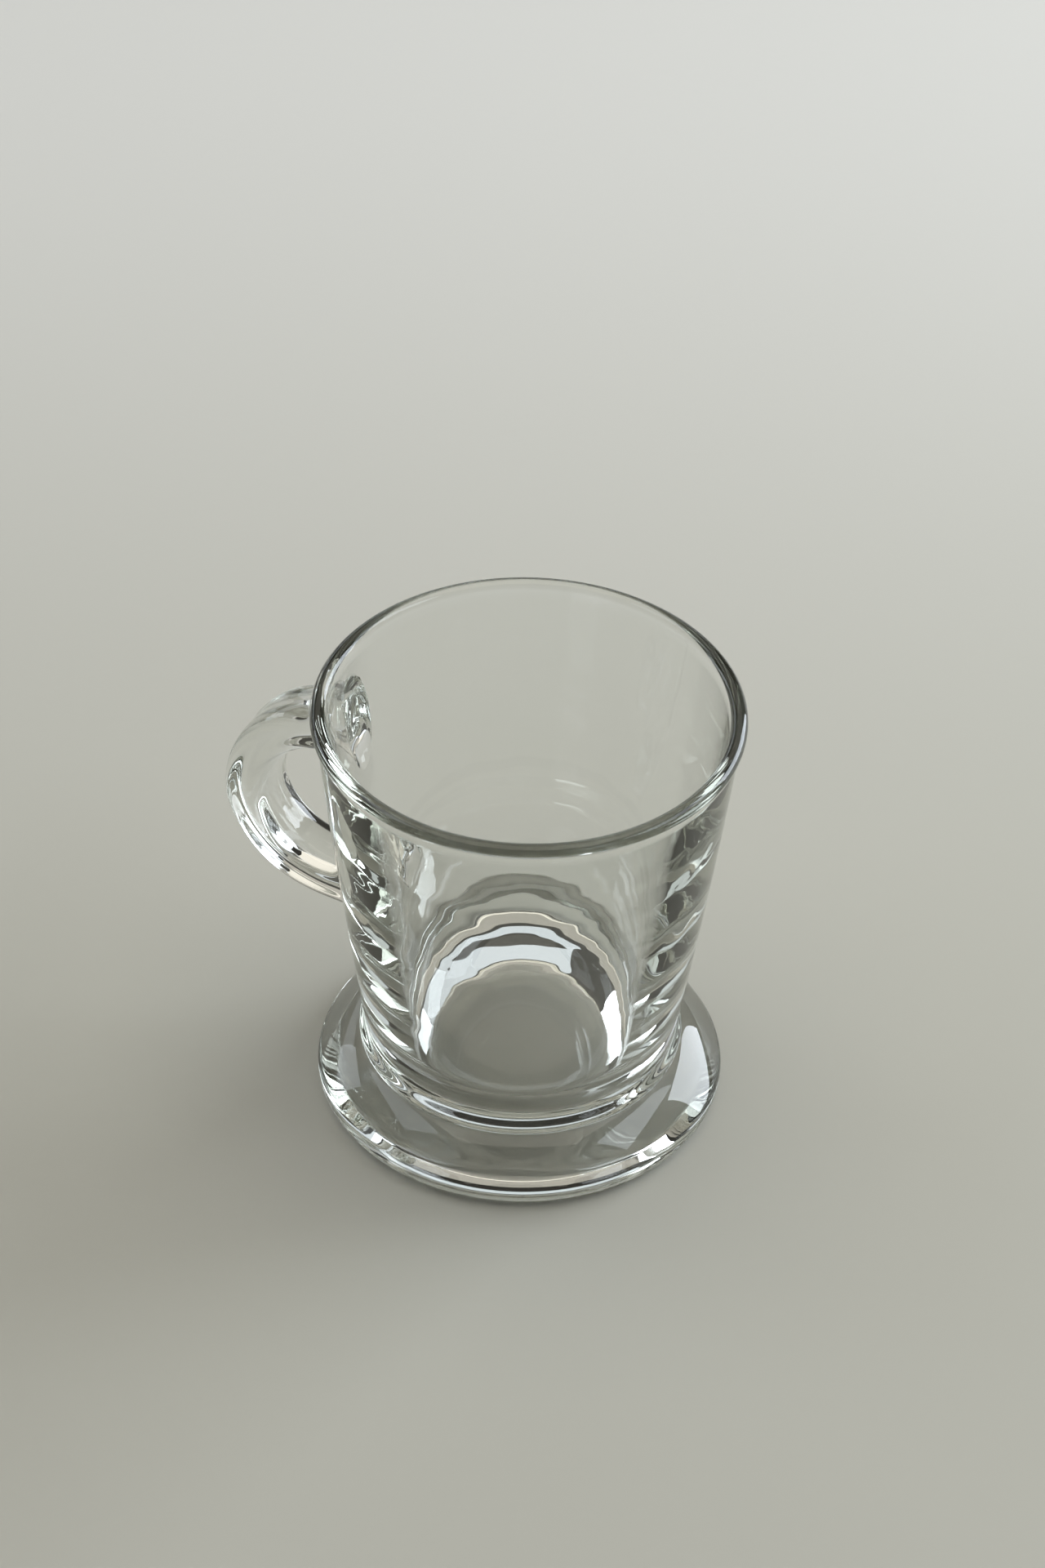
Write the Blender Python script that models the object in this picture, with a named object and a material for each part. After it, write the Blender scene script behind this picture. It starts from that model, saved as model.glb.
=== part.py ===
"""Glass espresso cup: a tapered bowl fused to a disc foot, with a strap of glass bent to an ear-shaped handle.

Metres, +Z up. The origin is on the bowl's axis, on the surface that the cup stands on. The handle points
along -X, so the cup is the same on both sides of the XZ plane. Hot glass is stuck to hot glass at three
welds: the bowl's base on the foot, and both ends of the handle on the wall. Each weld is drawn as a seam of
one named width.
"""

import math

import bmesh
import bpy
from mathutils import Vector

# Bowl
HEIGHT = 0.0693  # highest point of the lip
RIM_RADIUS = 0.0310  # outside of the lip
LIP_RADIUS = 0.00124  # half the thickness of the lip, which is fully round
LIP_START = -20  # degrees, where the lip's round section leaves the wall
BEAD = 0.0005  # how far the lip stands out from the wall
BASE_RADIUS = 0.0227  # outside of the wall, carried down to the foot
WALL_BULGE = 0.00038  # how far the wall swells past a straight taper at half height
WALL_AT_KNEE = 0.0056  # thickness of the wall where the cavity starts to round in
KNEE_HEIGHT = 0.018
FLOOR_HEIGHT = 0.007  # cavity's flat bottom
FLOOR_RADIUS = 0.005
KNEE_PULLS = (0.45, 0.38)  # fullness of the curve from the knee to the floor
SEAT_HEIGHT = 0.005  # underside of the bowl, on the axis
SEAT_RADIUS = 0.013  # flat part of that underside
SEAT_RISE = 38  # degrees, where the underside reaches the foot's top
SEAT_PULLS = (0.45, 0.27)

# Foot
FOOT_RADIUS = 0.03015
FOOT_EDGE = 0.0023  # radius of the round edge
SHOULDER_ANGLE = 52  # degrees up the edge's arc, where the sloping top starts
TOP_TILT = 14  # degrees, where the top reaches the bowl
TOP_PULLS = (0.35, 0.17)
JOIN_HEIGHT = 0.0086  # ring where the bowl meets the foot's sloping top
JOIN_FLARE = 0.0007  # how far that ring stands out from the wall
FILLET_HEIGHT = 0.0036  # height of the hollow curve between the ring and the wall
FILLET_TILT = 22  # degrees, where that curve leaves the ring
FILLET_PULLS = (0.15, 0.33)
HOLLOW_HEIGHT = 0.0030  # depth of the underside's hollow
HOLLOW_FLAT = 0.0060  # radius of the hollow's flat middle
HOLLOW_PULLS = (0.52, 0.16)
REST_RADIUS = 0.0250  # inside of the flat ring that the cup stands on

# Handle, in the plane of the loop
ROD_HALF = (0.0038, 0.0049)  # half thickness in the loop's plane and half width across it, before rounding
ROD_SQUARE = 0.1  # how far the section's rounded corners stand out, as a share of its size
ROD_FLAT = 0.02  # how much flatter the section is on the loop's outside
UPPER_HEIGHT = 0.0555  # where the rod's centre line meets the wall
UPPER_TILT = 2.6  # degrees above the horizontal, leaving the wall
UPPER_PULL = 0.01215
LOWER_HEIGHT = 0.0278
LOWER_TILT = -4.2
LOWER_PULL = 0.01108
BEND_HEIGHT = 0.0374  # point of the loop where the tight upper bend becomes the easy lower one
BEND_REACH = 0.0169  # that point's distance from the wall
BEND_LEAN = 21.5  # degrees from the vertical, towards the wall
BEND_PULL_ABOVE = 0.00582
BEND_PULL_BELOW = 0.00652
SWELL_LENGTH = 0.0048  # rod's length over which each end swells into its weld
SWELL_HOLLOW = 2.2  # how hollow the swelling's outline is, 1 being straight
UPPER_SWELL = (0.0082, 0.0045)  # half height and half width of the weld on the wall
LOWER_SWELL = (0.0064, 0.0046)

WELD = 0.0003  # width of the seams
SIDES = 64  # facets round the axis
ROD_SIDES = 32
ROD_RINGS = 22
SWELL_RINGS = 6
SMOOTH_ANGLE = 40  # degrees, above which an edge is drawn sharp


def between(a, b, t):
    return a + (b - a) * t


def curve(a, b, c, d, steps):
    """Points of a cubic curve from a to d, pulled towards b and c."""
    a, b, c, d = (Vector(p) for p in (a, b, c, d))
    points = []
    for i in range(steps + 1):
        t = i / steps
        s = 1 - t
        points.append(s**3 * a + 3 * s * s * t * b + 3 * s * t * t * c + t**3 * d)
    return points


def direction(degrees):
    """Unit vector in a plane of (radius, height), from straight out towards straight up."""
    return Vector((math.cos(math.radians(degrees)), math.sin(math.radians(degrees))))


def sweep(start, leaving, end, arriving, pulls, steps):
    """A curve between two points, from its heading at the start to its heading at the end, in degrees."""
    start, end = Vector(start), Vector(end)
    span = (end - start).length
    first = start + pulls[0] * span * direction(leaving)
    second = end - pulls[1] * span * direction(arriving)
    return curve(start, first, second, end, steps)


def arc(centre, radius, start, end, steps):
    """Points of an arc, in degrees from the outward direction."""
    return [Vector(centre) + radius * direction(between(start, end, i / steps)) for i in range(steps + 1)]


def wall_radius(z):
    """Outside of the tapered wall at height z."""
    t = (z - JOIN_HEIGHT) / (HEIGHT - JOIN_HEIGHT)
    return between(BASE_RADIUS, RIM_RADIUS - BEAD, t) + 4 * WALL_BULGE * t * (1 - t)


def wall_heading(z):
    """The wall's heading at height z, in degrees."""
    rise = HEIGHT - JOIN_HEIGHT
    t = (z - JOIN_HEIGHT) / rise
    return math.degrees(math.atan2(rise, RIM_RADIUS - BEAD - BASE_RADIUS + 4 * WALL_BULGE * (1 - 2 * t)))


def join_ring():
    """Radius and height of the ring where the bowl meets the foot."""
    return Vector((wall_radius(JOIN_HEIGHT) + JOIN_FLARE, JOIN_HEIGHT))


def seat_curve():
    """The bowl's round underside, from the axis out to the ring."""
    flat = (SEAT_RADIUS, SEAT_HEIGHT)
    return [Vector((0, SEAT_HEIGHT)), *sweep(flat, 0, join_ring(), SEAT_RISE, SEAT_PULLS, 7)]


def bowl_profile():
    lip_bottom = HEIGHT - 3 * LIP_RADIUS
    lip_centre = (RIM_RADIUS - LIP_RADIUS, HEIGHT - LIP_RADIUS)
    fillet_top = JOIN_HEIGHT + FILLET_HEIGHT
    wall_foot = Vector((wall_radius(fillet_top), fillet_top))
    points = seat_curve()
    heading = wall_heading(fillet_top)
    points += sweep(join_ring(), 180 - FILLET_TILT, wall_foot, heading, FILLET_PULLS, 5)[1:]
    for i in range(1, 11):
        z = between(fillet_top, lip_bottom, i / 10)
        points.append(Vector((wall_radius(z), z)))
    points += arc(lip_centre, LIP_RADIUS, LIP_START, 180, 12)
    knee = Vector((wall_radius(KNEE_HEIGHT) - WALL_AT_KNEE, KNEE_HEIGHT))
    lip_inside = points[-1]
    for i in range(1, 9):
        points.append(lip_inside.lerp(knee, i / 8))
    down = math.degrees(math.atan2(knee.y - lip_inside.y, knee.x - lip_inside.x))
    points += sweep(knee, down, (FLOOR_RADIUS, FLOOR_HEIGHT), -180, KNEE_PULLS, 9)[1:]
    points.append(Vector((0, FLOOR_HEIGHT)))
    return points


def foot_profile():
    edge = (FOOT_RADIUS - FOOT_EDGE, FOOT_EDGE)
    points = [Vector((0, HOLLOW_HEIGHT))]
    points += sweep((HOLLOW_FLAT, HOLLOW_HEIGHT), 0, (REST_RADIUS, 0), 0, HOLLOW_PULLS, 9)
    points += arc(edge, FOOT_EDGE, -90, SHOULDER_ANGLE, 9)
    seat = seat_curve()
    # The dish under the bowl follows its base at the weld's distance.
    dish = []
    for before, here, after in zip([seat[0]] + seat, seat, seat[1:] + [seat[-1]]):
        along = (after - before).normalized()
        dish.append(here + WELD * Vector((along.y, -along.x)))
    dish[0].x = 0
    points += sweep(points[-1], 90 + SHOULDER_ANGLE, dish[-1], 180 - TOP_TILT, TOP_PULLS, 6)[1:]
    points += reversed(dish[:-1])
    return points


def handle_line():
    """Centre line of the rod as distance from the axis and height, from the upper weld to the lower one."""
    upper = Vector((wall_radius(UPPER_HEIGHT), UPPER_HEIGHT))
    lower = Vector((wall_radius(LOWER_HEIGHT), LOWER_HEIGHT))
    bend = Vector((wall_radius(BEND_HEIGHT) + BEND_REACH, BEND_HEIGHT))
    lean = direction(-90 - BEND_LEAN)
    leave = upper + UPPER_PULL * direction(UPPER_TILT)
    arrive = lower + LOWER_PULL * direction(LOWER_TILT)
    points = curve(upper, leave, bend - BEND_PULL_ABOVE * lean, bend, 60)
    points += curve(bend, bend + BEND_PULL_BELOW * lean, arrive, lower, 60)[1:]
    return points


def rod_stations():
    """(centre, tangent, distance from the upper weld, distance from the lower weld), closer at the welds."""
    line = handle_line()
    run = [0.0]
    for a, b in zip(line, line[1:]):
        run.append(run[-1] + (b - a).length)
    total = run[-1]
    ends = [SWELL_LENGTH * (i / SWELL_RINGS) ** 1.4 for i in range(SWELL_RINGS + 1)]
    middle = [between(SWELL_LENGTH, total - SWELL_LENGTH, i / ROD_RINGS) for i in range(1, ROD_RINGS)]
    stations = []
    for want in ends + middle + [total - d for d in reversed(ends)]:
        i = min(max(k for k in range(len(run)) if run[k] <= want + 1e-9), len(line) - 2)
        t = (want - run[i]) / (run[i + 1] - run[i])
        tangent = (line[min(i + 2, len(line) - 1)] - line[max(i - 1, 0)]).normalized()
        stations.append((line[i].lerp(line[i + 1], t), tangent, want, total - want))
    return stations


def on_wall(y, z):
    """Distance from the axis, in the handle's plane, of a point at the weld's distance from the wall."""
    return math.sqrt((wall_radius(z) + WELD) ** 2 - y * y)


def handle_mesh():
    bm = bmesh.new()

    def point(s, y, z):
        return bm.verts.new((-s, y, z))

    stations = rod_stations()
    angles = [2 * math.pi * k / ROD_SIDES for k in range(ROD_SIDES)]

    def section(centre, tangent, swell, fade):
        """One ring of (distance, y, height), turned by fade from a rounded square into the weld's oval."""
        up = Vector((-tangent.y, tangent.x))
        swollen = fade**SWELL_HOLLOW
        high = between(ROD_HALF[0], swell[0], swollen)
        wide = between(ROD_HALF[1], swell[1], swollen)
        ring = []
        for angle in angles:
            corners = ROD_SQUARE * math.cos(4 * angle) + ROD_FLAT * math.cos(3 * angle)
            reach = 1 - (1 - swollen) * corners
            at = centre + up * high * reach * math.cos(angle)
            ring.append((at.x, wide * reach * math.sin(angle), at.y))
        return ring

    shifts = {}
    for end, swell in ((0, UPPER_SWELL), (-1, LOWER_SWELL)):
        centre, tangent, _, _ = stations[end]
        shifts[end] = [on_wall(y, z) - s for s, y, z in section(centre, tangent, swell, 1.0)]

    rings = []
    for centre, tangent, above, below in stations:
        end, swell, near = (0, UPPER_SWELL, above) if above < below else (-1, LOWER_SWELL, below)
        fade = max(0.0, 1 - near / SWELL_LENGTH)
        ring = section(centre, tangent, swell, fade)
        rings.append([point(s + fade * shift, y, z) for (s, y, z), shift in zip(ring, shifts[end])])
    for a, b in zip(rings, rings[1:]):
        for k in range(ROD_SIDES):
            n = (k + 1) % ROD_SIDES
            bm.faces.new((a[k], a[n], b[n], b[k]))

    # Each end is closed by a face that follows the wall.
    for ring in (rings[0], rings[-1]):
        middle = sum((v.co for v in ring), Vector()) / ROD_SIDES
        outer = ring
        for share in (0.66, 0.33):
            inner = []
            for vert in ring:
                y, z = between(middle.y, vert.co.y, share), between(middle.z, vert.co.z, share)
                inner.append(point(on_wall(y, z), y, z))
            for k in range(ROD_SIDES):
                n = (k + 1) % ROD_SIDES
                bm.faces.new((outer[k], outer[n], inner[n], inner[k]))
            outer = inner
        tip = point(on_wall(middle.y, middle.z), middle.y, middle.z)
        for k in range(ROD_SIDES):
            bm.faces.new((outer[k], outer[(k + 1) % ROD_SIDES], tip))
    return bm


def turned_mesh(profile):
    """The profile of (radius, height) points, turned once round the Z axis."""
    bm = bmesh.new()
    verts = [bm.verts.new((p.x, 0, p.y)) for p in profile]
    edges = [bm.edges.new(pair) for pair in zip(verts, verts[1:])]
    bmesh.ops.spin(
        bm, geom=verts + edges, axis=(0, 0, 1), cent=(0, 0, 0), angle=2 * math.pi, steps=SIDES, use_merge=True
    )
    bmesh.ops.remove_doubles(bm, verts=bm.verts, dist=1e-6)
    return bm


def glass(name, tint):
    material = bpy.data.materials.new(name)
    material.use_nodes = True
    shader = material.node_tree.nodes["Principled BSDF"]
    shader.inputs["Base Color"].default_value = (*tint, 1)
    shader.inputs["Roughness"].default_value = 0.02
    shader.inputs["Metallic"].default_value = 0
    shader.inputs["IOR"].default_value = 1.52
    shader.inputs["Transmission Weight"].default_value = 1
    return material


def add_piece(name, bm, material, parent):
    bmesh.ops.recalc_face_normals(bm, faces=bm.faces)
    mesh = bpy.data.meshes.new(name)
    bm.to_mesh(mesh)
    bm.free()
    mesh.shade_smooth()
    mesh.set_sharp_from_angle(angle=math.radians(SMOOTH_ANGLE))
    mesh.materials.append(material)
    piece = bpy.data.objects.new(name, mesh)
    piece.parent = parent
    bpy.context.scene.collection.objects.link(piece)


def main():
    for obj in list(bpy.data.objects):
        bpy.data.objects.remove(obj)
    cup = bpy.data.objects.new("cup", None)
    bpy.context.scene.collection.objects.link(cup)
    add_piece("bowl", turned_mesh(bowl_profile()), glass("bowl glass", (0.95, 0.96, 0.94)), cup)
    add_piece("foot", turned_mesh(foot_profile()), glass("foot glass", (0.94, 0.96, 0.94)), cup)
    add_piece("handle", handle_mesh(), glass("handle glass", (0.95, 0.96, 0.95)), cup)


main()
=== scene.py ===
"""Looks of the glass espresso cup: fine clear glass in place of the plain solids, on a pale table.

Metres, in the frame of the solids: the bowl's axis is Z, the table is z = 0 and the handle points along -X.
The angles of the shapes are in degrees. The pulls of a curve say how far it follows its heading at each
end, as shares of its span. The three pieces touch at their welds, and the faces inside a weld let light
through, so the glass looks fused.
"""

import math

import bmesh
import bpy
from mathutils import Matrix, Vector, noise
from mathutils.geometry import delaunay_2d_cdt


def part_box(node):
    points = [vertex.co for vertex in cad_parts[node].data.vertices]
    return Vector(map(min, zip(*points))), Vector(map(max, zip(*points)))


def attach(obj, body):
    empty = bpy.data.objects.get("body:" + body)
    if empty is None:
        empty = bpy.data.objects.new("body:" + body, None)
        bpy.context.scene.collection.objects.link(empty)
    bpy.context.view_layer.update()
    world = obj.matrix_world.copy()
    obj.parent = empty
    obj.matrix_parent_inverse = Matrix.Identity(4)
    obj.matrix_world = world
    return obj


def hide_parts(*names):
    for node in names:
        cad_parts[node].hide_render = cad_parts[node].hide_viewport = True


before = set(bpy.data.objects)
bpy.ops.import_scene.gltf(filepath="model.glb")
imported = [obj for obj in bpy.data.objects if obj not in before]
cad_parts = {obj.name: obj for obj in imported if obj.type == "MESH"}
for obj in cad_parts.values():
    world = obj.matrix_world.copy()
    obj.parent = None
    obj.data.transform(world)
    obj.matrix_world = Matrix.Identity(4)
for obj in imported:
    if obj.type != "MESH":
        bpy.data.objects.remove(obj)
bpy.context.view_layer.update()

# Bowl
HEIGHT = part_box("bowl")[1].z
RIM_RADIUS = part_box("bowl")[1].x
LIP_RADIUS = 0.00124
LIP_START = -20  # where the lip's round section leaves the wall
LIP_FALL = 3 * LIP_RADIUS  # from the rim down to the last row of the plain wall
BEAD = 0.0005  # how far the lip stands out from the wall's line
BASE_RADIUS = 0.0227
WALL_BULGE = 0.00038  # most that the wall stands out from a straight taper
WALL_AT_KNEE = 0.0052
KNEE_HEIGHT = 0.0165
FLOOR_HEIGHT = 0.007
FLOOR_RADIUS = 0.005
KNEE_PULLS = (0.55, 0.38)
SEAT_HEIGHT = 0.005
SEAT_RADIUS = 0.013
SEAT_RISE = 38
SEAT_PULLS = (0.45, 0.27)

# Foot
FOOT_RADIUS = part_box("foot")[1].x
FOOT_EDGE = 0.0023
SHOULDER_ANGLE = 40
TOP_TILT = 14
TOP_PULLS = (0.5, 0.17)
JOIN_HEIGHT = 0.0086
JOIN_FLARE = 0.0010
FILLET_HEIGHT = 0.0036
FILLET_TILT = 120  # over 90, so the curve swells to a small bead before it meets the wall
FILLET_PULLS = (0.5, 0.3)
HOLLOW_HEIGHT = 0.0030
HOLLOW_FLAT = 0.0060
HOLLOW_PULLS = (0.52, 0.16)
REST_RADIUS = 0.0250

# Handle, in the plane of the loop
ROD_HALF = (0.00375, 0.0051)  # half of its thickness and width, before its corners are squared
ROD_SQUARE = 0.094  # how far its section goes from an oval towards a box
ROD_FLAT = 0.02  # how much flatter the loop's outer side is than its inner side
UPPER_HEIGHT = 0.0555
UPPER_TILT = 2.6
UPPER_PULL = 0.01215
LOWER_HEIGHT = 0.0278
LOWER_TILT = -4.2
LOWER_PULL = 0.01108
BEND_HEIGHT = 0.0374
BEND_REACH = 0.0169
BEND_LEAN = 21.5
BEND_PULL_ABOVE = 0.00582
BEND_PULL_BELOW = 0.00652
SWELL_LENGTH = 0.0048
UPPER_SWELL = (0.0085, 0.0038)  # half of the weld's height and width
UPPER_RISE = 0.0008  # how far the weld lies above the rod's own line
LOWER_SWELL = (0.0066, 0.0042)
LOWER_RISE = 0

# Unevenness of the cavity's wall
RING_DEPTH = 0.000008
RING_PITCH = 0.0026
RING_TURNS = 1.6  # how fast the rings change on their way round the axis
WAVE_DEPTH = 0.000015
WAVE_PITCH = 0.0052
CALM_BELOW_LIP = 0.008  # height over which the wall becomes even towards the lip

# Fineness of the meshes
SIDES = 192
ROW = 0.0006
INNER_ROW = 0.0003
NORMAL_STEP = ROW / 10  # half of the span that the wall's normals are taken from
SEAT_STEPS = 16
FILLET_STEPS = 20
LIP_STEPS = 24
KNEE_STEPS = 28
FLOOR_SHARES = (0.66, 0.33, 0)  # rings of the cavity's floor, as shares of its radius
HOLLOW_STEPS = 32
FOOT_EDGE_STEPS = 24
FOOT_TOP_STEPS = 20
LINE_STEPS = 200
ROD_SIDES = 128
ROD_RINGS = 90
SWELL_RINGS = 14
WINDOW_COLUMNS = 10  # columns of the wall on each side of the handle that are meshed round its welds
WINDOW_MARGIN = 0.0016
WELD_GAP = 0.000004  # keeps light from meeting both faces of a weld at once
WELD_CLEARANCE = 0.00045  # least distance of the wall's own points from a weld's outline
WELD_SHARES = (1.0, 0.75, 0.5, 0.25)  # rings of points in a weld, as shares of the way to its outline
SAME_POINT = 1e-8  # distance within which two points of the wall become one
POINT_DECIMALS = 7  # decimals that tell the points of a weld apart

# View, from a camera solve on the rim and the foot
VIEW_TURN = math.radians(25)  # turn of the view from the handle's plane
CAMERA_PITCH = math.radians(40)
CAMERA_ROLL = 0.0266  # radians
CAMERA_DISTANCE = 0.69986
CAMERA_TARGET = (-0.000634, 0, 0.055256)
CLIP_START = 0.01
LENS = 112.5  # millimetres, as is the sensor's height
SENSOR = 36

# Glass
GLASS_IOR = 1.52
TINTS = ((0.985, 0.99, 0.985), (0.97, 0.98, 0.97))
BODY_TINT = (0.42, 0.45, 0.34)  # colour that light keeps on its way through thick glass
BODY_DENSITY = 12
TINT_PITCH = 0.02
POLISH_PITCH = 0.012
POLISH_LOSS = 0.012
BOWL_RIPPLE = (0.007, 0.000002)  # pitch and depth
FOOT_RIPPLE = (0.009, 0.000003)
HANDLE_RIPPLE = (0.005, 0.000006)
CLOUD_RANGE = (0.3, 0.7)  # span of the noise that is spread over a whole range
MIX_A, MIX_B, MIX_RESULT = 6, 7, 2  # places of the colours among a Mix node's sockets

# Table
TABLE_NEAR = (0.57, 0.555, 0.485)
# Painted sheen: the table's colour far behind the cup, paler as if the lamps behind it glanced off it
TABLE_PAINTED_SHEEN = (0.755, 0.74, 0.70)
TABLE_SHEEN_FADE = (0.0, 0.31)  # distances behind the cup over which the table becomes paler, a painted sheen of the lamps behind it
TABLE_ROUGHNESS = (0.55, 0.65)
TABLE_GRAIN = 0.003
TABLE_HALF = 40  # far enough for its edge to lie close to the horizon in low views
TABLE_CELLS = 8
TABLE_DROP = 0.00002  # keeps the table's face clear of the ring that the foot stands on
BACKDROP = (0.56, 0.55, 0.51)
BACKDROP_FADE = (0.4, 1.0)  # distances from the cup over which the table passes into the backdrop

# Light
COOL = (0.86, 0.93, 1.0)
WARM = (1.0, 0.95, 0.84)
LAMPS = {
    "back_window": dict(azimuth=-18, elevation=20, distance=1.0, size=(1.3, 0.25), level=1.0, color=COOL),
    "right_window": dict(azimuth=57, elevation=18, distance=1.1, size=(0.69, 0.59), level=7.5, color=COOL),
    "back_wall": dict(azimuth=0, elevation=52, distance=1.2, size=(1.68, 0.6), level=0.5, color=WARM),
    "ceiling": dict(azimuth=0, elevation=88, distance=1.2, size=(1.1, 1.1), level=1.1, color=WARM),
    "left_upper": dict(azimuth=-80, elevation=52, distance=1.2, size=(0.9, 0.4), level=1.6, color=COOL),
    "right_upper": dict(azimuth=90, elevation=46, distance=1.2, size=(0.9, 0.4), level=3.2, color=COOL),
    "left_window": dict(azimuth=-62, elevation=18, distance=1.1, size=(0.4, 0.34), level=2.2, color=COOL),
}
ROOM_LEVEL = 0.04
CAUSTIC_BLUR = 1  # softens the light that glass throws on the table
BOUNCES = 32

GLASS, WELD = 0, 1  # marks of the faces while a piece is made


def between(a, b, t):
    return a + (b - a) * t


def curve(a, b, c, d, steps):
    """Points of a cubic curve from a to d, pulled towards b and c."""
    a, b, c, d = (Vector(p) for p in (a, b, c, d))
    points = []
    for i in range(steps + 1):
        t = i / steps
        s = 1 - t
        points.append(s**3 * a + 3 * s * s * t * b + 3 * s * t * t * c + t**3 * d)
    return points


def direction(degrees):
    """Unit vector in a plane of (radius, height), from straight out towards straight up."""
    return Vector((math.cos(math.radians(degrees)), math.sin(math.radians(degrees))))


def sweep(start, leaving, end, arriving, pulls, steps):
    """A curve between two points, from its heading at the start to its heading at the end, in degrees."""
    start, end = Vector(start), Vector(end)
    span = (end - start).length
    first = start + pulls[0] * span * direction(leaving)
    second = end - pulls[1] * span * direction(arriving)
    return curve(start, first, second, end, steps)


def arc(centre, radius, start, end, steps):
    """Points of an arc, in degrees from the outward direction."""
    return [Vector(centre) + radius * direction(between(start, end, i / steps)) for i in range(steps + 1)]


def wall_radius(z):
    """Outside of the tapered wall at height z."""
    t = (z - JOIN_HEIGHT) / (HEIGHT - JOIN_HEIGHT)
    return between(BASE_RADIUS, RIM_RADIUS - BEAD, t) + 4 * WALL_BULGE * t * (1 - t)


def wall_heading(z):
    """The wall's heading at height z, in degrees."""
    rise = HEIGHT - JOIN_HEIGHT
    t = (z - JOIN_HEIGHT) / rise
    return math.degrees(math.atan2(rise, RIM_RADIUS - BEAD - BASE_RADIUS + 4 * WALL_BULGE * (1 - 2 * t)))


def join_ring():
    """Radius and height of the ring where the bowl meets the foot."""
    return Vector((wall_radius(JOIN_HEIGHT) + JOIN_FLARE, JOIN_HEIGHT))


def seat_curve():
    """The bowl's round underside, which the foot's dish follows."""
    flat = (SEAT_RADIUS, SEAT_HEIGHT)
    return [Vector((0, SEAT_HEIGHT)), *sweep(flat, 0, join_ring(), SEAT_RISE, SEAT_PULLS, SEAT_STEPS)]


def unevenness(angle, z):
    """How far the cavity's wall stands out from its true surface: rings round the axis and broad waves."""
    around = Vector((math.cos(angle), math.sin(angle), 0))
    rings = noise.noise(around * RING_TURNS + Vector((0, 0, z / RING_PITCH)))
    waves = noise.noise(around * RIM_RADIUS / WAVE_PITCH + Vector((0, 0, z / WAVE_PITCH)))
    calm = min(1.0, max(0.0, (HEIGHT - LIP_RADIUS - z) / CALM_BELOW_LIP))
    return calm * (RING_DEPTH * rings + WAVE_DEPTH * waves)


def turned_point(radius, angle, z):
    """A point round the axis, with angles from the handle's direction."""
    return Vector((-radius * math.cos(angle), radius * math.sin(angle), z))


def wall_point(angle, z):
    return turned_point(wall_radius(z), angle, z)


def wall_normal(angle, z):
    turn = NORMAL_STEP / RIM_RADIUS
    round_axis = wall_point(angle + turn, z) - wall_point(angle - turn, z)
    upwards = wall_point(angle, z + NORMAL_STEP) - wall_point(angle, z - NORMAL_STEP)
    normal = round_axis.cross(upwards).normalized()
    return normal if normal.dot(wall_point(angle, 0)) > 0 else -normal


def column_angle(column):
    return 2 * math.pi * column / SIDES


def add_ring(bm, radius, z, uneven=False):
    """The points of one turn round the axis, or the one point on it."""
    if radius == 0:
        return [bm.verts.new((0, 0, z))]
    ring = []
    for column in range(SIDES):
        angle = column_angle(column)
        shift = unevenness(angle, z) if uneven else 0
        ring.append(bm.verts.new(turned_point(radius + shift, angle, z)))
    return ring


def join_rings(bm, first, second, mark, skip=()):
    """Faces between two rings, or a ring and a point, apart from the columns to skip."""
    columns = max(len(first), len(second))
    for k in range(columns):
        if k in skip:
            continue
        n = (k + 1) % columns
        corners = [first[k % len(first)], first[n % len(first)]]
        corners += [second[n % len(second)], second[k % len(second)]]
        face = bm.faces.new(list(dict.fromkeys(corners)))
        face.material_index = mark
        face.smooth = True


def mark_sharp(bm, ring):
    for a, b in zip(ring, ring[1:] + ring[:1]):
        bm.edges.get((a, b)).smooth = False


def inside(outline, point):
    """Whether a point of the flattened wall is in a weld's outline or within the clearance of it."""
    middle = sum(outline, Vector((0, 0))) / len(outline)
    reach = max(outline, key=lambda p: (p - middle).normalized().dot((point - middle).normalized()))
    return (point - middle).length < (reach - middle).length + WELD_CLEARANCE


def turns_left(outline):
    return sum(a.cross(b) for a, b in zip(outline, outline[1:] + outline[:1])) > 0


def fill_window(bm, rows, places, outlines):
    """Meshes a window of the wall, given as rows of points, with each weld's outline as a loop of edges.

    places holds each point's angle and height. It returns, for each outline, the triangles inside it.
    """
    flat_scale = Vector((RIM_RADIUS, 1))
    flat_outlines = [[Vector(place) * flat_scale for place in outline] for outline in outlines]
    border = rows[0] + [row[-1] for row in rows[1:-1]] + rows[-1][::-1] + [row[0] for row in rows[-2:0:-1]]
    verts = list(border)
    for row in rows[1:-1]:
        for vert in row[1:-1]:
            flat = Vector(places[vert]) * flat_scale
            if any(inside(outline, flat) for outline in flat_outlines):
                del places[vert]
                bm.verts.remove(vert)
            else:
                verts.append(vert)
    edges = [(i, (i + 1) % len(border)) for i in range(len(border))]
    loops = []
    for outline, flat_outline in zip(outlines, flat_outlines):
        middle = sum((Vector(place) for place in outline), Vector((0, 0))) / len(outline)
        loop = list(range(len(verts), len(verts) + len(outline)))
        for share in WELD_SHARES:
            for place in outline:
                angle, z = middle.lerp(Vector(place), share)
                vert = bm.verts.new(wall_point(angle, z))
                places[vert] = (angle, z)
                verts.append(vert)
        edges += zip(loop, loop[1:] + loop[:1])
        loops.append(loop if turns_left(flat_outline) else loop[::-1])
    flat_points = [Vector(places[vert]) * flat_scale for vert in verts]
    _, _, faces, sources, _, owners = delaunay_2d_cdt(flat_points, edges, loops, 0, SAME_POINT)
    welds = [[] for _ in outlines]
    for corners, owner in zip(faces, owners):
        face = bm.faces.new([verts[sources[corner][0]] for corner in corners])
        face.smooth = True
        face.material_index = WELD if owner else GLASS
        for loop in owner:
            welds[loop].append([vert.co.copy() for vert in face.verts])
    return welds


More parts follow.
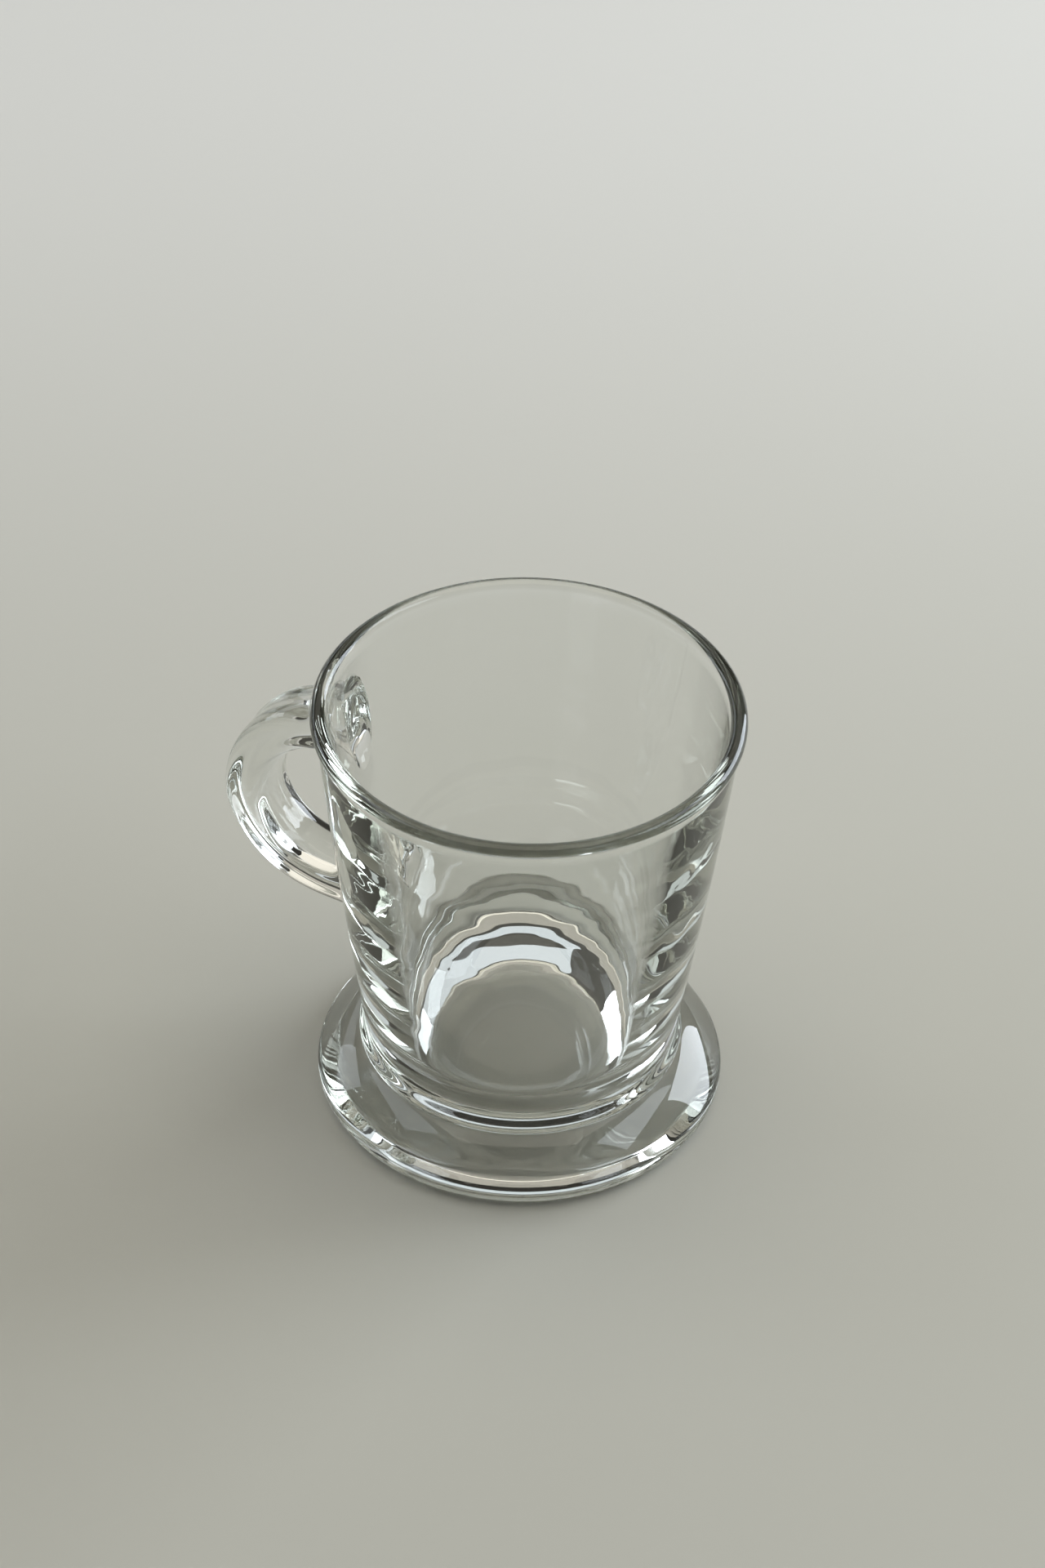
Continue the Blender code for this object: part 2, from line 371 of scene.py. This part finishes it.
def make_bowl(outlines):
    """The bowl's mesh, the angle and height of its outer wall's points, and the triangles of its welds."""
    bm = bmesh.new()
    seat = [add_ring(bm, p.x, p.y) for p in seat_curve()]
    for a, b in zip(seat, seat[1:]):
        join_rings(bm, a, b, WELD)
    mark_sharp(bm, seat[-1])

    fillet_top = JOIN_HEIGHT + FILLET_HEIGHT
    foot_of_wall = (wall_radius(fillet_top), fillet_top)
    arriving = wall_heading(fillet_top)
    fillet = sweep(join_ring(), 180 - FILLET_TILT, foot_of_wall, arriving, FILLET_PULLS, FILLET_STEPS)
    outside = [seat[-1]] + [add_ring(bm, p.x, p.y) for p in fillet[1:-1]]

    lip_bottom = HEIGHT - LIP_FALL
    wall_rows = round((lip_bottom - fillet_top) / ROW)
    heights = [between(fillet_top, lip_bottom, i / wall_rows) for i in range(wall_rows + 1)]
    wall = [add_ring(bm, wall_radius(z), z) for z in heights]
    places = {}
    for ring, z in zip(wall, heights):
        for column, vert in enumerate(ring):
            centred = column if column <= SIDES // 2 else column - SIDES
            places[vert] = (column_angle(centred), z)

    lip_centre = (RIM_RADIUS - LIP_RADIUS, HEIGHT - LIP_RADIUS)
    lip = arc(lip_centre, LIP_RADIUS, LIP_START, 180, LIP_STEPS)
    knee = Vector((wall_radius(KNEE_HEIGHT) - WALL_AT_KNEE, KNEE_HEIGHT))
    inner_rows = round((lip[-1] - knee).length / INNER_ROW)
    cavity = [lip[-1].lerp(knee, i / inner_rows) for i in range(1, inner_rows + 1)]
    down = math.degrees(math.atan2(knee.y - lip[-1].y, knee.x - lip[-1].x))
    cavity += sweep(knee, down, (FLOOR_RADIUS, FLOOR_HEIGHT), -180, KNEE_PULLS, KNEE_STEPS)[1:]
    cavity += [Vector((FLOOR_RADIUS * share, FLOOR_HEIGHT)) for share in FLOOR_SHARES]
    above = [add_ring(bm, p.x, p.y) for p in lip] + [add_ring(bm, p.x, p.y, uneven=True) for p in cavity]

    for a, b in zip(outside, outside[1:] + wall[:1]):
        join_rings(bm, a, b, GLASS)
    low = min(z for outline in outlines for _, z in outline) - WINDOW_MARGIN
    high = max(z for outline in outlines for _, z in outline) + WINDOW_MARGIN
    window = [i for i, z in enumerate(heights) if low <= z <= high]
    columns = list(range(-WINDOW_COLUMNS, WINDOW_COLUMNS + 1))
    skipped = {column % SIDES for column in columns[:-1]}
    for i in range(len(wall) - 1):
        in_window = window[0] <= i < window[-1]
        join_rings(bm, wall[i], wall[i + 1], GLASS, skipped if in_window else ())
    welds = fill_window(bm, [[wall[i][column] for column in columns] for i in window], places, outlines)
    for a, b in zip(wall[-1:] + above, above):
        join_rings(bm, a, b, GLASS)
    return bm, places, welds


def make_foot():
    """The foot's mesh, lower than its true place by the welds' gap."""
    bm = bmesh.new()
    edge = (FOOT_RADIUS - FOOT_EDGE, FOOT_EDGE)
    seat = seat_curve()
    profile = [Vector((0, HOLLOW_HEIGHT))]
    profile += sweep((HOLLOW_FLAT, HOLLOW_HEIGHT), 0, (REST_RADIUS, 0), 0, HOLLOW_PULLS, HOLLOW_STEPS)
    profile += arc(edge, FOOT_EDGE, -90, SHOULDER_ANGLE, FOOT_EDGE_STEPS)
    shoulder = profile[-1]
    leaving = 90 + SHOULDER_ANGLE
    profile += sweep(shoulder, leaving, seat[-1], 180 - TOP_TILT, TOP_PULLS, FOOT_TOP_STEPS)[1:]
    rings = [add_ring(bm, p.x, p.y) for p in profile]
    dish = [add_ring(bm, p.x, p.y) for p in seat[:-1]] + rings[-1:]
    for a, b in zip(rings, rings[1:]):
        join_rings(bm, a, b, GLASS)
    for a, b in zip(dish, dish[1:]):
        join_rings(bm, a, b, WELD)
    mark_sharp(bm, rings[-1])
    bmesh.ops.translate(bm, vec=(0, 0, -WELD_GAP), verts=bm.verts)
    return bm


def handle_line():
    """Centre line of the rod as distance from the axis and height, from the upper weld to the lower one."""
    upper = Vector((wall_radius(UPPER_HEIGHT), UPPER_HEIGHT))
    lower = Vector((wall_radius(LOWER_HEIGHT), LOWER_HEIGHT))
    bend = Vector((wall_radius(BEND_HEIGHT) + BEND_REACH, BEND_HEIGHT))
    lean = direction(-90 - BEND_LEAN)
    leave = upper + UPPER_PULL * direction(UPPER_TILT)
    arrive = lower + LOWER_PULL * direction(LOWER_TILT)
    points = curve(upper, leave, bend - BEND_PULL_ABOVE * lean, bend, LINE_STEPS)
    points += curve(bend, bend + BEND_PULL_BELOW * lean, arrive, lower, LINE_STEPS)[1:]
    return points


def line_reader(line):
    """Total length of a line, and a function from a distance along it to the point and heading there."""
    run = [0.0]
    for a, b in zip(line, line[1:]):
        run.append(run[-1] + (b - a).length)

    def read(distance):
        i = max(k for k in range(len(line) - 1) if run[k] <= distance or k == 0)
        point = line[i].lerp(line[i + 1], (distance - run[i]) / (run[i + 1] - run[i]))
        return point, (line[min(i + 2, len(line) - 1)] - line[max(i - 1, 0)]).normalized()

    return run[-1], read


def rod_section(centre, tangent, half_height, half_width, square):
    """One ring of the rod as (distance from the axis, y, height): an oval at square 0, a strap at 1."""
    up = Vector((-tangent.y, tangent.x))
    ring = []
    for k in range(ROD_SIDES):
        turn = 2 * math.pi * k / ROD_SIDES
        reach = 1 - square * (ROD_SQUARE * math.cos(4 * turn) + ROD_FLAT * math.cos(3 * turn))
        at = centre + up * half_height * reach * math.cos(turn)
        ring.append(Vector((at.x, half_width * reach * math.sin(turn), at.y)))
    return ring


def end_rings(read, end, inwards, swell, rise):
    """Rings of one end of the rod, from its weld on the wall along a hollow fillet to the plain rod."""
    rings = []
    for i in range(SWELL_RINGS):
        turn = math.pi / 2 * i / SWELL_RINGS
        square = math.sin(turn)
        halves = [between(at_weld, plain, square) for at_weld, plain in zip(swell, ROD_HALF)]
        along = end + inwards * SWELL_LENGTH * (1 - math.cos(turn))
        ring = rod_section(*read(along), *halves, square)
        at_wall = rod_section(*read(end), *halves, square)
        fade = math.cos(turn) ** 2
        for point, flat in zip(ring, at_wall):
            on_wall = math.sqrt(wall_radius(flat.z + fade * rise) ** 2 - flat.y**2)
            point.x += fade * (on_wall - flat.x)
            point.z += fade * rise
        rings.append(ring)
    return rings


def handle_rings():
    """All rings of the rod, as points in space, from the upper weld to the lower one."""
    total, read = line_reader(handle_line())
    rings = end_rings(read, 0.0, 1, UPPER_SWELL, UPPER_RISE)
    for i in range(ROD_RINGS + 1):
        distance = between(SWELL_LENGTH, total - SWELL_LENGTH, i / ROD_RINGS)
        rings.append(rod_section(*read(distance), *ROD_HALF, 1))
    rings += reversed(end_rings(read, total, -1, LOWER_SWELL, LOWER_RISE))
    return [[Vector((-p.x, p.y, p.z)) for p in ring] for ring in rings]


def point_key(point):
    return tuple(round(x, POINT_DECIMALS) for x in point)


def make_handle(rings, welds):
    """The handle's mesh, closed at its ends by copies of the triangles of the bowl's welds."""
    bm = bmesh.new()
    rows = [[bm.verts.new(point) for point in ring] for ring in rings]
    for a, b in zip(rows, rows[1:]):
        join_rings(bm, a, b, GLASS)
    for row, triangles in ((rows[0], welds[0]), (rows[-1], welds[1])):
        known = {point_key(vert.co): vert for vert in row}
        for triangle in triangles:
            corners = []
            for point in triangle:
                key = point_key(point)
                if key not in known:
                    known[key] = bm.verts.new(point)
                corners.append(known[key])
            face = bm.faces.new(corners)
            face.material_index = WELD
            face.smooth = True
        mark_sharp(bm, row)
    bmesh.ops.translate(bm, vec=(-WELD_GAP, 0, 0), verts=bm.verts)
    return bm


def add_piece(name, node, bm, material, normals=None):
    """A finished piece that stands for a solid. Its faces inside a weld are marked for the material."""
    bmesh.ops.recalc_face_normals(bm, faces=bm.faces)
    in_weld = [face.material_index == WELD for face in bm.faces]
    for face in bm.faces:
        face.material_index = 0
    mesh = bpy.data.meshes.new(name)
    bm.to_mesh(mesh)
    bm.free()
    mesh.attributes.new("weld", "FLOAT", "FACE").data.foreach_set("value", in_weld)
    mesh.materials.append(material)
    if normals:
        mesh.normals_split_custom_set_from_vertices(normals)
    piece = bpy.data.objects.new(name, mesh)
    bpy.context.scene.collection.objects.link(piece)
    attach(piece, "root")
    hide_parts(node)


def ranged_noise(tree, scale, low, high):
    """A cloudy number between low and high, with clouds of about 1 / scale metres."""
    place = tree.nodes.new("ShaderNodeTexCoord")
    clouds = tree.nodes.new("ShaderNodeTexNoise")
    clouds.inputs["Scale"].default_value = scale
    tree.links.new(place.outputs["Object"], clouds.inputs["Vector"])
    level = tree.nodes.new("ShaderNodeMapRange")
    level.inputs["From Min"].default_value, level.inputs["From Max"].default_value = CLOUD_RANGE
    level.inputs["To Min"].default_value = low
    level.inputs["To Max"].default_value = high
    tree.links.new(clouds.outputs["Fac"], level.inputs["Value"])
    return level.outputs["Result"]


def mixed(tree, factor, first, second):
    """A colour between two others."""
    mix = tree.nodes.new("ShaderNodeMix")
    mix.data_type = "RGBA"
    tree.links.new(factor, mix.inputs["Factor"])
    mix.inputs[MIX_A].default_value = (*first, 1)
    mix.inputs[MIX_B].default_value = (*second, 1)
    return mix.outputs[MIX_RESULT]


def glass(name, ripple_pitch, ripple_depth):
    """Clear glass with faintly uneven tint and polish, and ripples left by the fire.

    Faces that are marked as inside a weld let light straight through.
    """
    material = bpy.data.materials.new(name)
    material.use_nodes = True
    tree = material.node_tree
    shader = tree.nodes["Principled BSDF"]
    shader.inputs["IOR"].default_value = GLASS_IOR
    shader.inputs["Transmission Weight"].default_value = 1
    tint = mixed(tree, ranged_noise(tree, 1 / TINT_PITCH, 0, 1), *TINTS)
    tree.links.new(tint, shader.inputs["Base Color"])
    tree.links.new(ranged_noise(tree, 1 / POLISH_PITCH, 0, POLISH_LOSS), shader.inputs["Roughness"])
    bump = tree.nodes.new("ShaderNodeBump")
    bump.inputs["Distance"].default_value = ripple_depth
    tree.links.new(ranged_noise(tree, 1 / ripple_pitch, 0, 1), bump.inputs["Height"])
    tree.links.new(bump.outputs["Normal"], shader.inputs["Normal"])
    weld = tree.nodes.new("ShaderNodeAttribute")
    weld.attribute_name = "weld"
    clear = tree.nodes.new("ShaderNodeMath")
    clear.operation = "SUBTRACT"
    clear.inputs[0].default_value = 1
    tree.links.new(weld.outputs["Fac"], clear.inputs[1])
    tree.links.new(clear.outputs["Value"], shader.inputs["Alpha"])
    body = tree.nodes.new("ShaderNodeVolumeAbsorption")
    body.inputs["Color"].default_value = (*BODY_TINT, 1)
    body.inputs["Density"].default_value = BODY_DENSITY
    tree.links.new(body.outputs["Volume"], tree.nodes["Material Output"].inputs["Volume"])
    return material


def make_cup():
    bowl_glass = glass("bowl glass", *BOWL_RIPPLE)
    foot_glass = glass("foot glass", *FOOT_RIPPLE)
    handle_glass = glass("handle glass", *HANDLE_RIPPLE)
    rings = handle_rings()
    outlines = []
    for ring in (rings[0], rings[-1]):
        outlines.append([(math.asin(p.y / wall_radius(p.z)), p.z) for p in ring])
    bm, places, welds = make_bowl(outlines)
    bm.verts.index_update()
    normals = [Vector((0, 0, 0))] * len(bm.verts)
    for vert, place in places.items():
        normals[vert.index] = wall_normal(*place)
    add_piece("glass_bowl", "bowl", bm, bowl_glass, normals)
    add_piece("glass_foot", "foot", make_foot(), foot_glass)
    handle = make_handle(rings, welds)
    add_piece("glass_handle", "handle", handle, handle_glass)


def to_view(x, y, z):
    """A place given as seen by the camera: x to its right, y away from it, z up."""
    return Matrix.Rotation(VIEW_TURN, 3, "Z") @ Vector((x, y, z))


def pass_into_backdrop(tree, place, shader):
    """Far from the cup, where the lamps leave the table dark, it looks like a plain pale backdrop.

    The camera sees it so, also mirrored in glass or through it.
    """
    reach = tree.nodes.new("ShaderNodeVectorMath")
    reach.operation = "LENGTH"
    tree.links.new(place, reach.inputs[0])
    far = tree.nodes.new("ShaderNodeMapRange")
    far.interpolation_type = "SMOOTHSTEP"
    far.inputs["From Min"].default_value, far.inputs["From Max"].default_value = BACKDROP_FADE
    tree.links.new(reach.outputs["Value"], far.inputs["Value"])
    ray = tree.nodes.new("ShaderNodeLightPath")
    eye = ray.outputs["Is Camera Ray"]
    for kind in ("Is Glossy Ray", "Is Transmission Ray"):
        either = tree.nodes.new("ShaderNodeMath")
        either.operation = "MAXIMUM"
        tree.links.new(eye, either.inputs[0])
        tree.links.new(ray.outputs[kind], either.inputs[1])
        eye = either.outputs["Value"]
    seen = tree.nodes.new("ShaderNodeMath")
    seen.operation = "MULTIPLY"
    tree.links.new(far.outputs["Result"], seen.inputs[0])
    tree.links.new(eye, seen.inputs[1])
    backdrop = tree.nodes.new("ShaderNodeEmission")
    backdrop.inputs["Color"].default_value = (*BACKDROP, 1)
    mix = tree.nodes.new("ShaderNodeMixShader")
    tree.links.new(seen.outputs["Value"], mix.inputs["Fac"])
    tree.links.new(shader.outputs["BSDF"], mix.inputs[1])
    tree.links.new(backdrop.outputs["Emission"], mix.inputs[2])
    tree.links.new(mix.outputs["Shader"], tree.nodes["Material Output"].inputs["Surface"])


def make_table():
    bm = bmesh.new()
    bmesh.ops.create_grid(bm, x_segments=TABLE_CELLS, y_segments=TABLE_CELLS, size=TABLE_HALF)
    mesh = bpy.data.meshes.new("table")
    bm.to_mesh(mesh)
    bm.free()
    material = bpy.data.materials.new("pale table")
    material.use_nodes = True
    tree = material.node_tree
    shader = tree.nodes["Principled BSDF"]
    place = tree.nodes.new("ShaderNodeTexCoord")
    split = tree.nodes.new("ShaderNodeSeparateXYZ")
    tree.links.new(place.outputs["Object"], split.inputs["Vector"])
    # Painted sheen: the table's colour turns paler behind the cup, as if lit from the back
    away = tree.nodes.new("ShaderNodeMapRange")
    away.interpolation_type = "SMOOTHSTEP"
    away.inputs["From Min"].default_value, away.inputs["From Max"].default_value = TABLE_SHEEN_FADE
    tree.links.new(split.outputs["Y"], away.inputs["Value"])
    color = mixed(tree, away.outputs["Result"], TABLE_NEAR, TABLE_PAINTED_SHEEN)
    tree.links.new(color, shader.inputs["Base Color"])
    tree.links.new(ranged_noise(tree, 1 / TABLE_GRAIN, *TABLE_ROUGHNESS), shader.inputs["Roughness"])
    pass_into_backdrop(tree, place.outputs["Object"], shader)
    mesh.materials.append(material)
    table = bpy.data.objects.new("table", mesh)
    table.location.z = -TABLE_DROP
    table.rotation_euler.z = VIEW_TURN
    bpy.context.scene.collection.objects.link(table)


def add_lamp(name, azimuth, elevation, distance, size, level, color):
    """A soft box aimed at the cup, whose level is its brightness at any size.

    Its azimuth is in degrees to the right of straight away from the camera, its elevation in degrees up.
    """
    lamp = bpy.data.lights.new(name, "AREA")
    lamp.shape = "RECTANGLE"
    lamp.size, lamp.size_y = size
    lamp.energy = level * math.pi * size[0] * size[1]
    lamp.color = color
    obj = bpy.data.objects.new(name, lamp)
    turn, rise = math.radians(azimuth), math.radians(elevation)
    way = to_view(math.sin(turn) * math.cos(rise), math.cos(turn) * math.cos(rise), math.sin(rise))
    obj.location = way * distance
    obj.rotation_euler = way.to_track_quat("Z", "Y").to_euler()
    obj.visible_camera = False
    bpy.context.scene.collection.objects.link(obj)


def make_room():
    """A dim, even surrounding, which leaves dark lines in the glass."""
    world = bpy.data.worlds.new("room")
    world.use_nodes = True
    bpy.context.scene.world = world
    room = world.node_tree.nodes["Background"]
    room.inputs["Color"].default_value = (*WARM, 1)
    room.inputs["Strength"].default_value = ROOM_LEVEL


def make_light():
    for name, lamp in LAMPS.items():
        add_lamp(name, **lamp)


def make_camera():
    camera = bpy.data.cameras.new("camera")
    camera.sensor_fit = "VERTICAL"
    camera.sensor_height = SENSOR
    camera.lens = LENS
    camera.clip_start = CLIP_START
    obj = bpy.data.objects.new("camera", camera)
    bpy.context.scene.collection.objects.link(obj)
    forward = to_view(0, math.cos(CAMERA_PITCH), -math.sin(CAMERA_PITCH))
    right = to_view(1, 0, 0)
    turn = Matrix.Rotation(-CAMERA_ROLL, 3, forward)
    axes = Matrix((turn @ right, turn @ right.cross(forward), -forward)).transposed()
    place = to_view(*CAMERA_TARGET) - forward * CAMERA_DISTANCE
    obj.matrix_world = Matrix.Translation(place) @ axes.to_4x4()
    bpy.context.scene.camera = obj


def set_light_paths():
    """Thick glass passes light on many times before it comes out."""
    cycles = bpy.context.scene.cycles
    cycles.blur_glossy = CAUSTIC_BLUR
    cycles.max_bounces = BOUNCES
    cycles.transmission_bounces = BOUNCES
    cycles.glossy_bounces = BOUNCES
    cycles.transparent_max_bounces = BOUNCES


make_cup()
make_table()
make_room()
make_light()
make_camera()
bpy.context.scene.view_settings.view_transform = "Standard"
set_light_paths()
